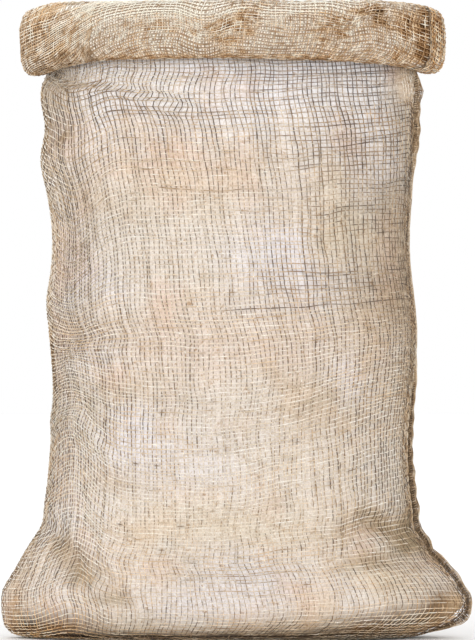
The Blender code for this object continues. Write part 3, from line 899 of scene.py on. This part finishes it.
def build_net(material):
    """The yarns, in five bands with their length, and the doubled wefts at the cuff's end."""
    v, p, n, edge = seamed_grid()
    columns = p.shape[1]
    j, i = np.meshgrid(np.arange(ROWS + 1), np.arange(columns), indexing="ij")
    lift = np.where((i + j) % 2 == 0, 1.0, -1.0)[..., None] * CRIMP
    across_v, across_u = (unit(np.cross(n, unit(np.gradient(p, axis=k)))) for k in (0, 1))
    x, z = p[..., 0] - MIDDLE[0], p[..., 2]
    front, (cuff, outer) = facing(p, n, v), cuff_shares(v)
    rng = np.random.default_rng(9)
    warp_own, weft_own = rng.normal(size=columns)[None, :], rng.normal(size=ROWS + 1)[:, None]
    warp_tone, weft_tone, warm, grey = net_tones(j, i, p, n, v, edge, warp_own, weft_own)
    yarn = smooth(YARN_RADII, z) * (1 + 0.25 * cuff * outer * up_from(np.abs(x), 0.17, 0.03))
    warp_r = yarn * (1 + 0.14 * warp_own + 0.12 * noise(j / 3, i, 50)).clip(0.6, 1.6)
    weft_r = yarn * (1 + 0.12 * weft_own + 0.12 * noise(j, i / 3, 51)).clip(0.6, 1.6)
    warp_r = np.where(edge > 0, warp_r * 1.3, warp_r)
    for k in range(SLUBS):
        a, b = rng.integers(0, ROWS - 3), rng.integers(0, columns - 3)
        if k % 2:
            warp_tone[a : a + 3, b] += 0.25
            warp_r[a : a + 2, b] *= 1.3
        else:
            weft_tone[a, b : b + 2] += 0.35
            weft_r[a, b : b + 2] *= 1.3
    for x0, z0 in KNOTS:
        at = nearest(x, z, front, x0, z0)
        weft_tone[at] += 0.9
        weft_r[at] *= 1.8
        warp_tone[at] += 0.4
    # Painted light and shade on the front warps: darker between the crossings, and in the dotted
    # places paler at them.
    dash = 0.10 * noise(j, i, 23)
    dots = patches(DOTTED, x, z, 4).clip(0, 1) * front * (edge == 0) * (1 - cuff)
    cross_tone = warp_tone - 0.75 * dots
    lay = np.where(v > V_ROLL, -LAY, LAY)[..., None]
    split = columns // 2
    pieces = []
    names = ("net_base", "net_lower", "net_middle", "net_upper", "net_cuff")
    cuts = [k * ROWS // len(names) for k in range(len(names) + 1)]
    for name, start, stop in zip(names, cuts, cuts[1:]):
        s = slice(start, stop + 1)
        w = slice(start, stop) if stop < ROWS else s
        centre = p[s] + n[s] * (lift[s] - lay[s])
        colour = shade(cross_tone[s], warm[s], grey[s])
        middle_tone = (warp_tone[s][:-1] + warp_tone[s][1:]) / 2 + 0.06
        middle_tone = middle_tone + (dash + 0.10 * dots)[s][:-1]
        middle_colour = shade(middle_tone, warm[s][:-1], grey[s][:-1])
        parts = []
        # The warps that show in front have a ring between the crossings too.
        for half, finer in ((slice(0, split), False), (slice(split, columns), True)):
            a = [k[:, half] for k in (centre, n[s], across_v[s], warp_r[s], colour)]
            if finer:
                a = [between(k) for k in a]
                a[4][1::2] = middle_colour[:, half]
            parts.append((*tubes(*a[:4]), per_side(a[4])))
        centre = p[w] - n[w] * (lift[w] - lay[w])
        colour = shade(weft_tone[w], warm[w], grey[w])
        a = [k.swapaxes(0, 1) for k in (centre, n[w], across_u[w], weft_r[w], colour)]
        parts.append((*tubes(*a[:4]), per_side(a[4])))
        if name == "net_cuff":
            swollen = np.where(x[ROWS - 30] < -0.150)[0]
            swollen = slice(swollen[0], swollen[-1] + 1)
            doubled = build_end_wefts(s, swollen, p, n, across_u, weft_r, weft_tone, warm, material)
        ob = join_parts(name, parts, material)
        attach(ob, "root")
        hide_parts("sack")
        pieces.append((ob, float(WEFTS[stop] - WEFTS[start])))
    return pieces, doubled


def build_core(material):
    """The closed cloth of the inner turns, just behind the cuff's outer turn."""
    j, i, v, u = net_grid()
    turned = turned_at(v[:, WARPS // 4])
    rows = (turned > TURN_STEP) & (turned < 380)
    j, i, v, u = (between(between(a[rows].astype(float)).T).T for a in (j, i, v, u))
    p, n = cloth.read(v, u)
    front = facing(p, n, v)
    x, z = p[..., 0] - MIDDLE[0], p[..., 2]
    turned = turned_at(v)
    # Painted shade in the sunk rucks and towards the cuff's underside, painted light on the raised
    # rucks; a little darker away from the front as well.
    tone = -0.27 + patches(CUFF_TONES, x, z, 6, 1.6) * front - 60 * ruck(x, z) * front
    tone += 0.75 * up_from(turned, 236, 22) + 0.10 * (1 - front)
    tone += 0.34 * noise(j, i, 80) + 0.08 * noise(j / 5, i / 5, 81)
    # The next turn's wefts show between those in front where the cuff is ribbed.
    ribbed = down_to(x, -0.150, 0.03)
    tone -= 0.70 * ribbed * front * (np.arange(len(v)) % 2)[:, None] * np.clip(tone, 0, 1)
    colour = shade(tone, 0.4 + 1.9 * tone.clip(0, 0.8), np.zeros(tone.shape))
    faces = quads(np.arange(v.size).reshape(v.shape), closed=False)
    # Under the cuff it comes close to the outer turn, so that no light shows between.
    points = p + n * (CORE_GAP * (1 - 0.9 * bell(turned, 268, 32))[..., None])
    points, colour = points.reshape(-1, 3), colour.reshape(-1, 3)
    ob = make_mesh("cuff_inner_turns", points, faces, material, colour)
    corners = np.empty(len(ob.data.loops), np.int32)
    ob.data.loops.foreach_get("vertex_index", corners)
    weave = np.stack([i, j], -1).reshape(-1, 2)[corners]
    ob.data.uv_layers.new(name="weave").uv.foreach_set("vector", weave.astype(np.float32).ravel())
    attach(ob, "root")
    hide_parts("sack")
    return ob, float(v[-1].mean() - v[0].mean())


def build_overlock(material):
    """Dark thread sewn over the edge of the seam allowance."""
    v = np.arange(V_FLOOR + 0.004, V_ROLL - 0.045, 0.0003)
    (front, _, wide), (back, _, _) = flange(v, 1), flange(v, -1)
    middle = (front + back) / 2
    inner, outer = middle[:, 0], middle[:, -1]
    axis = unit(outer - inner + 1e-9)
    centre = inner + (outer - inner) * 0.36
    reach = np.maximum(wide * 0.34, 0.0006)
    turn = (v / STITCH * 2 * math.pi)[:, None]
    side = np.array([[0.0, 1.0, 0.0]])
    path = centre + axis * (np.cos(turn) * reach[:, None]) + side * (np.sin(turn) * 0.0016)
    along = unit(np.gradient(path, axis=0))
    lateral = unit(np.cross(along, [[0.3, 0.2, 0.9]]))
    normal = np.cross(along, lateral)
    radius = np.full((len(v), 1), THREAD_RADIUS)
    points, faces = tubes(path[:, None], normal[:, None], lateral[:, None], radius)
    z, step = path[:, 2:3], v[:, None]
    tone = 0.26 + 0.20 * noise(step / 0.0009, step * 0, 90)
    tone += 0.12 * noise(step / 0.006, step * 0, 91)
    # Painted shade on the inner side of each loop, towards the cloth.
    tone += 0.25 * np.clip(-np.cos(turn), 0, 1)
    tone += 0.42 * up_from(z, 0.49, 0.03) + 0.40 * down_to(z, 0.29, 0.03)
    colour = shade(tone, np.full_like(tone, 0.4), np.zeros_like(tone))
    ob = make_mesh("overlock_thread", points, faces, material, per_side(colour))
    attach(ob, "root")
    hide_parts("sack")
    return ob


# ---------------------------------------------------------------- filling
# Tints of the mass seen through the front: x, z, half width, half height, tint, amount.
# Besides the mass's own colour, some are painted shade and painted light, marked below.
FILL_TINTS = [
    (0.04, 0.555, 0.15, 0.045, "white", 0.9),
    (-0.145, 0.56, 0.05, 0.03, "white", 0.6),
    (0.15, 0.52, 0.04, 0.06, "white", 0.9),
    (-0.165, 0.11, 0.035, 0.06, "white", 0.6),
    (-0.165, 0.33, 0.03, 0.13, "white", 0.5),
    # Painted light: the strip under the cuff is lightened against the cuff's shadow.
    (-0.1, 0.597, 0.09, 0.01, "blue", 0.9),
    (-0.105, 0.515, 0.045, 0.03, "blue", 0.5),
    (0.03, 0.395, 0.05, 0.03, "blue", 0.7),
    (0.07, 0.37, 0.06, 0.03, "blue", 0.5),
    (0.12, 0.44, 0.05, 0.04, "yellow", 0.5),
    (-0.05, 0.48, 0.09, 0.03, "yellow", 0.4),
    (-0.11, 0.19, 0.016, 0.022, "blue", 0.9),
    (0.11, 0.265, 0.02, 0.03, "blue", 0.7),
    (0.06, 0.3, 0.06, 0.03, "pink", 0.4),
    (-0.06, 0.3, 0.06, 0.04, "pink", 0.3),
    (0.0, 0.12, 0.08, 0.03, "yellow", 0.4),
    (0.02, 0.075, 0.07, 0.025, "blue", 0.6),
    (0.15, 0.062, 0.035, 0.022, "yellow", 0.7),
    (0.05, 0.055, 0.06, 0.015, "blue", 0.5),
    # Light brown patches, here and below: partly the mass's own colour, partly painted shade along
    # folds.
    (0.16, 0.355, 0.025, 0.025, "tan_and_fold_shade", 0.6),
    (0.08, 0.245, 0.025, 0.014, "tan_and_fold_shade", 0.5),
    (0.11, 0.225, 0.03, 0.01, "tan_and_fold_shade", 0.5),
    (0.045, 0.275, 0.014, 0.012, "tan_and_fold_shade", 0.4),
    (0.15, 0.115, 0.05, 0.012, "tan_and_fold_shade", 0.7),
    (-0.168, 0.078, 0.018, 0.02, "tan_and_fold_shade", 0.6),
    (-0.12, 0.165, 0.025, 0.012, "tan_and_fold_shade", 0.4),
    (-0.181, 0.525, 0.006, 0.008, "stain", 0.8),
    # Painted shade along the bottom, where the cloth meets the floor.
    (0.0, 0.006, 0.3, 0.013, "edge", 1.0),
    # Painted shade in the ears: the dark inside where the mass doesn't reach the corners.
    (-0.212, 0.019, 0.032, 0.011, "painted_shade_brown", 2.0),
    (-0.222, 0.02, 0.013, 0.008, "painted_shade_dark", 2.2),
    (-0.186, 0.022, 0.015, 0.007, "painted_shade_dark", 2.2),
    (-0.175, 0.014, 0.024, 0.006, "painted_shade_brown", 1.0),
    (-0.24, 0.035, 0.012, 0.03, "tan_and_fold_shade", 0.8),
    (0.15, 0.012, 0.04, 0.008, "painted_shade_brown", 2.0),
    (0.185, 0.018, 0.032, 0.013, "painted_shade_brown", 2.0),
    (0.18, 0.013, 0.03, 0.006, "painted_shade_dark", 1.8),
    (0.212, 0.034, 0.014, 0.01, "painted_shade_dark", 1.2),
    (0.215, 0.03, 0.022, 0.02, "painted_shade_brown", 1.6),
    (0.232, 0.042, 0.014, 0.018, "tan_and_fold_shade", 1.0),
    # Painted shade along the folds at the lower right.
    (0.17, 0.126, 0.045, 0.008, "tan_and_fold_shade", 0.9),
    (0.148, 0.086, 0.03, 0.009, "tan_and_fold_shade", 0.7),
    # Painted light: the strip under the cuff and the bunch at the seam, lightened against the
    # cuff's shadow; painted shadow under the cuff's left end.
    (0.02, 0.592, 0.17, 0.016, "white", 1.3),
    (-0.08, 0.598, 0.08, 0.009, "white", 1.3),
    (-0.155, 0.588, 0.045, 0.016, "white", 0.9),
    (-0.2, 0.588, 0.014, 0.014, "straw", 0.6),
    (0.182, 0.584, 0.018, 0.02, "gold", 0.9),
    # Painted shade along the bottom, where the cloth meets the floor.
    (0.0, 0.002, 0.3, 0.007, "painted_shade_dark", 1.5),
    # Painted shade along both sides.
    (-0.205, 0.56, 0.03, 0.05, "straw", 0.5),
    (0.185, 0.35, 0.026, 0.3, "edge", 0.75),
    (0.15, 0.4, 0.04, 0.12, "straw", 0.3),
    (-0.205, 0.3, 0.018, 0.3, "edge", 0.08),
    (-0.091, 0.217, 0.045, 0.03, "blue", 0.8),
    (-0.149, 0.307, 0.03, 0.02, "blue", 0.6),
    (0.045, 0.412, 0.035, 0.025, "blue", 0.8),
    (-0.144, 0.37, 0.04, 0.018, "blue", 0.6),
    (-0.039, 0.175, 0.055, 0.022, "blue", 0.5),
    (-0.02, 0.31, 0.16, 0.028, "pink", 0.45),
    (-0.06, 0.5, 0.1, 0.03, "pink", 0.35),
    (-0.028, 0.04, 0.06, 0.02, "blue", 0.6),
    # Painted shade in the folds of the lower corners.
    (-0.135, 0.05, 0.018, 0.012, "tan_and_fold_shade", 0.4),
    (-0.184, 0.095, 0.008, 0.016, "painted_crease_shade", 0.8),
    (-0.166, 0.068, 0.014, 0.01, "painted_crease_shade", 0.8),
    (-0.135, 0.044, 0.022, 0.006, "painted_crease_shade", 0.7),
    (0.186, 0.106, 0.014, 0.016, "painted_crease_shade", 1.4),
    (0.16, 0.12, 0.03, 0.007, "painted_crease_shade", 0.6),
    (0.148, 0.078, 0.025, 0.006, "painted_crease_shade", 0.6),
    (-0.17, 0.33, 0.035, 0.022, "tan_and_fold_shade", 0.35),
    (-0.15, 0.455, 0.06, 0.016, "tan_and_fold_shade", 0.3),
    (-0.12, 0.26, 0.05, 0.016, "tan_and_fold_shade", 0.35),
]
# Tints, linear. The two darkest, the fold tints, edge and straw are painted shade; the light brown
# one is partly the mass's own colour, partly painted fold shade; white and gold also serve as
# painted light under the cuff.
TINT = {
    "white": (0.96, 0.96, 1.00),
    "gold": (0.86, 0.72, 0.52),
    "blue": (0.90, 0.89, 0.95),
    "yellow": (0.85, 0.75, 0.56),
    "pink": (0.84, 0.71, 0.63),
    "straw": (0.62, 0.52, 0.39),
    "edge": (0.55, 0.465, 0.34),
    "tan_and_fold_shade": (0.62, 0.46, 0.29),
    "stain": (0.40, 0.28, 0.10),
    "painted_shade_dark": (0.06, 0.04, 0.025),
    "painted_shade_brown": (0.22, 0.13, 0.065),
    "painted_crease_shade": (0.44, 0.36, 0.24),
}
CREAM = (0.86, 0.80, 0.74)


FILL_COLUMNS = 200
FILL_GAP, FILL_CORNER_GAP = 0.0020, 0.0008  # behind the cloth, and more of it at the corners
FILL_TIP, FILL_SEAT = 0.0018, 0.0006  # clear of the outline, and of the cloth under the mass
FILL_LOW, FILL_HIGH = 0.034, 0.600  # heights of the rings on the body
CLOSING = (0.97, 0.9, 0.8, 0.68, 0.54, 0.4, 0.26, 0.12, 0.0)  # of the rings that close the top


def fill_rings():
    """Rings of points round the mass, from the base up and in to the middle of its top."""
    low = (np.linspace(0.0, V_FLOOR, 8), np.linspace(V_FLOOR + 0.004, V_FLOOR + 0.03, 8))
    low = np.tile(np.concatenate(low)[:, None], (1, FILL_COLUMNS))
    body_v = cloth.v[BASE_ROWS:CUFF_ROW]
    body_z = cloth.points[BASE_ROWS:CUFF_ROW, PANEL_COLUMNS // 2, 2]
    u = np.arange(FILL_COLUMNS) / FILL_COLUMNS
    near_top, _ = cloth.read(np.full(FILL_COLUMNS, np.interp(0.58, body_z, body_v)), u)
    top_z = smooth(FILL_TOP, near_top[:, 0] - MIDDLE[0])
    body = np.linspace(FILL_LOW, FILL_HIGH, 112)[:, None]
    body = body + (top_z - FILL_HIGH) * up_from(body, 0.48, 0.12)
    v = np.concatenate([low, np.interp(body, body_z, body_v)])
    u = np.tile(u, (len(v), 1))
    p, n = cloth.read(v, u)
    z = p[..., 2]
    corner = up_from(np.abs(p[..., 0]), 0.10, 0.10) * (1 - up_from(z, 0.001, 0.022))
    gap = FILL_GAP + FILL_CORNER_GAP * corner * (v > V_FLOOR * 0.999)
    q = p - n * gap[..., None]
    left, right = MIDDLE[0] - smooth(LEVELS, z, 1), MIDDLE[0] + smooth(LEVELS, z, 2)
    q[..., 0] = np.clip(q[..., 0], left + FILL_TIP, right - FILL_TIP)
    y = q[..., 1] - MIDDLE[1]
    in_front = (u > 0) & (u < 0.5)
    q[..., 1] = np.where(in_front, np.minimum(y, -0.0004), np.maximum(y, 0.0004)) + MIDDLE[1]
    q[..., 2] = np.maximum(q[..., 2], CLOTH_T + FILL_SEAT)
    q[v <= V_FLOOR * 0.9999, 2] = CLOTH_T + FILL_SEAT
    rings, top = list(q), q[-1]
    both = (top + top[(-np.arange(FILL_COLUMNS)) % FILL_COLUMNS]) / 2
    for share in CLOSING:
        x = both[:, 0] * (0.985 + 0.015 * share) + (top[:, 0] - both[:, 0]) * share
        y = top[:, 1] * share + MIDDLE[1] * (1 - share)
        swell = 0.003 * (1 - share**2) * (1 + 0.25 * np.sin(21 * x + 9 * share))
        swell *= down_to(np.abs(x + 0.006), 0.190, 0.05)
        z = both[:, 2] + (top[:, 2] - both[:, 2]) * share + swell
        rings.append(np.stack([x, y, z], -1))
    return np.array(rings)


def build_filling(material):
    """The soft mass behind the net: it follows the cloth and leaves the ears slack."""
    rings = fill_rings()
    j, i = np.meshgrid(np.arange(len(rings)), np.arange(FILL_COLUMNS), indexing="ij")
    height = rings[..., 2]
    x = rings[..., 0] - MIDDLE[0] + 0.010 * noise(j / 9, i / 9, 60)
    z = height + 0.008 * noise(j / 9, i / 9, 61) * up_from(height, 0, 0.1)
    colour = np.tile(np.array(CREAM), (*j.shape, 1))
    for x0, z0, wide, high, tint, amount in FILL_TINTS:
        near = (amount * oval(x, z, x0, z0, wide, high)).clip(0, 1)[..., None]
        colour = colour * (1 - near) + np.array(TINT[tint]) * near
    faces = quads(np.arange(j.size).reshape(j.shape))
    points, colour = rings.reshape(-1, 3), colour.reshape(-1, 3)
    ob = make_mesh("soft_filling", points, faces, material, colour)
    bm = bmesh.new()
    bm.from_mesh(ob.data)
    bmesh.ops.remove_doubles(bm, verts=bm.verts[:], dist=0.00005)
    bmesh.ops.recalc_face_normals(bm, faces=bm.faces[:])
    bm.to_mesh(ob.data)
    bm.free()
    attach(ob, "root")
    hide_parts("filling")
    return ob


# ---------------------------------------------------------------- materials
def new_material(name, roughness, specular):
    m = bpy.data.materials.new(name)
    m.use_nodes = True
    shader = m.node_tree.nodes["Principled BSDF"]
    shader.inputs["Roughness"].default_value = roughness
    shader.inputs["Specular IOR Level"].default_value = specular
    return m, m.node_tree, shader


def new_node(nt, kind, inputs, **settings):
    """A node with its settings; its inputs are linked to an output or set to a value."""
    node = nt.nodes.new(kind)
    for name, value in settings.items():
        setattr(node, name, value)
    for key, value in inputs.items():
        if isinstance(value, bpy.types.NodeSocket):
            nt.links.new(value, node.inputs[key])
        else:
            node.inputs[key].default_value = value
    return node


def tint_of(nt):
    """The colours that the meshes carry."""
    return new_node(nt, "ShaderNodeVertexColor", {}, layer_name="Tint").outputs["Color"]


def ramp(nt, value, from_low, from_high, to_low, to_high):
    """A value mapped from one range to another, and held at its ends."""
    ends = {"From Min": from_low, "From Max": from_high, "To Min": to_low, "To Max": to_high}
    return new_node(nt, "ShaderNodeMapRange", {"Value": value, **ends}).outputs["Result"]


def grain(nt, where, scale, detail):
    """Fine noise at a place."""
    inputs = {"Vector": where, "Scale": scale, "Detail": detail}
    return new_node(nt, "ShaderNodeTexNoise", inputs).outputs["Fac"]


def levelled(nt, colour, level):
    """The colour, lighter or darker by a level."""
    inputs = {0: colour, "Scale": level}
    return new_node(nt, "ShaderNodeVectorMath", inputs, operation="SCALE").outputs[0]


def multiplied(nt, amount, colour, by):
    """The colour multiplied by another, as far as the amount says."""
    inputs = {0: amount, 6: colour, 7: (*by, 1)}
    kind = {"data_type": "RGBA", "blend_type": "MULTIPLY"}
    return new_node(nt, "ShaderNodeMix", inputs, **kind).outputs[2]


def add_bump(nt, shader, height, strength, distance):
    inputs = {"Height": height, "Strength": strength, "Distance": distance}
    bump = new_node(nt, "ShaderNodeBump", inputs)
    nt.links.new(bump.outputs["Normal"], shader.inputs["Normal"])


def jute_material():
    """Fibrous yarn in the mesh's colours."""
    m, nt, shader = new_material("jute_yarn", roughness=0.85, specular=0.2)
    where = nt.nodes.new("ShaderNodeTexCoord").outputs["Object"]
    fibre = grain(nt, where, 700, 2)
    colour = levelled(nt, tint_of(nt), ramp(nt, fibre, 0.3, 0.7, 0.78, 1.18))
    nt.links.new(colour, shader.inputs["Base Color"])
    shader.inputs["Sheen Weight"].default_value = 0.15
    add_bump(nt, shader, fibre, 0.4, 0.0003)
    return m


def inner_turns_material():
    """Closed cloth with the next turn's warps drawn as lines midway between those in front."""
    m, nt, shader = new_material("jute_inner_turns", roughness=0.9, specular=0.15)
    weave = new_node(nt, "ShaderNodeUVMap", {}, uv_map="weave").outputs["UV"]
    split = new_node(nt, "ShaderNodeSeparateXYZ", {0: weave}).outputs
    sway = new_node(nt, "ShaderNodeTexNoise", {"Vector": weave, "Scale": 0.6}).outputs["Fac"]
    inputs = {0: sway, 1: 0.9, 2: split["X"]}
    moved = new_node(nt, "ShaderNodeMath", inputs, operation="MULTIPLY_ADD").outputs[0]
    # Lines between the warps in front, then the shade close behind the warps and wefts.
    lines = None
    for source, low, high, most in (
        (moved, 0.17, 0.09, 0.80),
        (split["X"], 0.20, 0.08, 0.90),
        (split["Y"], 0.34, 0.20, 0.90),
    ):
        wave = new_node(nt, "ShaderNodeMath", {0: source, 1: 0.5}, operation="PINGPONG").outputs[0]
        line = ramp(nt, wave, low, high, 0, most)
        if lines:
            inputs = {0: lines, 1: line}
            line = new_node(nt, "ShaderNodeMath", inputs, operation="MAXIMUM").outputs[0]
        lines = line
    level = ramp(nt, grain(nt, weave, 2.4, 2), 0.3, 0.7, 0.80, 1.10)
    worn = levelled(nt, tint_of(nt), level)
    colour = multiplied(nt, lines, worn, (0.33, 0.23, 0.145))
    nt.links.new(colour, shader.inputs["Base Color"])
    return m


# Spots of the filling: scale, seed, detail, noise where they begin and end, amount, tint.
SPOTS = [
    (9, 0.4, 3, 0.54, 0.70, 0.6, (0.86 / 0.90, 0.86 / 0.90, 1)),
    (12, 4.1, 3, 0.57, 0.72, 0.6, (1, 0.79 / 0.90, 0.64 / 0.90)),
    (15, 7.8, 3, 0.54, 0.70, 0.6, (1, 0.76 / 0.90, 0.69 / 0.90)),
    (300, 1.3, 2, 0.42, 0.66, 1, (0.84, 0.81, 0.78)),
    (620, 5.1, 2, 0.45, 0.68, 1, (0.85, 0.79, 0.73)),
    (230, 8.7, 2, 0.62, 0.70, 1, (0.74, 0.62, 0.50)),
]


def filling_material():
    """The mesh's colours with soft spots and specks of other tints."""
    m, nt, shader = new_material("soft_filling", roughness=0.95, specular=0.1)
    where = nt.nodes.new("ShaderNodeTexCoord").outputs["Object"]
    colour = tint_of(nt)
    for scale, seed, detail, low, high, most, by in SPOTS:
        inputs = {"Vector": where, "W": seed, "Scale": scale, "Detail": detail}
        spot = new_node(nt, "ShaderNodeTexNoise", inputs, noise_dimensions="4D").outputs["Fac"]
        colour = multiplied(nt, ramp(nt, spot, low, high, 0, most), colour, by)
    nt.links.new(colour, shader.inputs["Base Color"])
    add_bump(nt, shader, grain(nt, where, 160, 3), 0.35, 0.0012)
    return m


def floor_material():
    m, _, shader = new_material("pale_floor", roughness=0.9, specular=0.5)
    shader.inputs["Base Color"].default_value = (0.92, 0.92, 0.92, 1)
    return m


# ---------------------------------------------------------------- stage
FLOOR_HALF = 14
EYE_AWAY, EYE_X, EYE_Z = 6.0, 0.0006, 0.3335
VIEW_HIGH = 0.672  # height of the photograph's view at the sack's middle
SENSOR = 36  # mm
# Lamps: the way their light goes, strength, width in degrees.
LAMPS = {
    "key": ((0.16, 0.86, -0.42), 0.50, 70),
    "front": ((0.02, 0.99, -0.02), 1.00, 40),
    "side": ((0.80, 0.50, -0.30), 0.50, 50),
    "right": ((-0.80, 0.45, -0.35), 0.22, 50),
    "rear": ((0.1, -0.8, -0.9), 0.6, 50),
}


def build_stage():
    """Floor, white surroundings, lamps and camera."""
    corners = [(x * FLOOR_HALF, y * FLOOR_HALF, 0) for x, y in ((-1, -1), (1, -1), (1, 1), (-1, 1))]
    make_mesh("floor", corners, [(0, 1, 2, 3)], floor_material())

    world = bpy.data.worlds.new("studio")
    bpy.context.scene.world = world
    world.use_nodes = True
    nt = world.node_tree
    back = nt.nodes["Background"]
    back.inputs["Color"].default_value = (1, 1, 1, 1)
    # It lights the sack a little less than it shows.
    seen = nt.nodes.new("ShaderNodeLightPath").outputs["Is Camera Ray"]
    nt.links.new(ramp(nt, seen, 0, 1, 0.84, 1), back.inputs["Strength"])

    for name, (towards, strength, width) in LAMPS.items():
        light = bpy.data.lights.new(name, "SUN")
        light.energy = strength
        light.angle = math.radians(width)
        lamp = bpy.data.objects.new(name, light)
        lamp.rotation_euler = Vector(towards).to_track_quat("-Z", "Y").to_euler()
        bpy.context.scene.collection.objects.link(lamp)

    camera = bpy.data.cameras.new("camera")
    camera.sensor_width = SENSOR
    camera.clip_end = 100
    camera.lens = SENSOR * EYE_AWAY / VIEW_HIGH
    eye = bpy.data.objects.new("camera", camera)
    eye.location = (EYE_X, -EYE_AWAY, EYE_Z)
    eye.rotation_euler = (math.radians(90), 0, 0)
    bpy.context.scene.collection.objects.link(eye)
    bpy.context.scene.camera = eye
    bpy.context.scene.view_settings.view_transform = "Standard"


# ---------------------------------------------------------------- build
jute = jute_material()
net, doubled = build_net(jute)
thread = build_overlock(jute)
core, core_length = build_core(inner_turns_material())
filling = build_filling(filling_material())
build_stage()
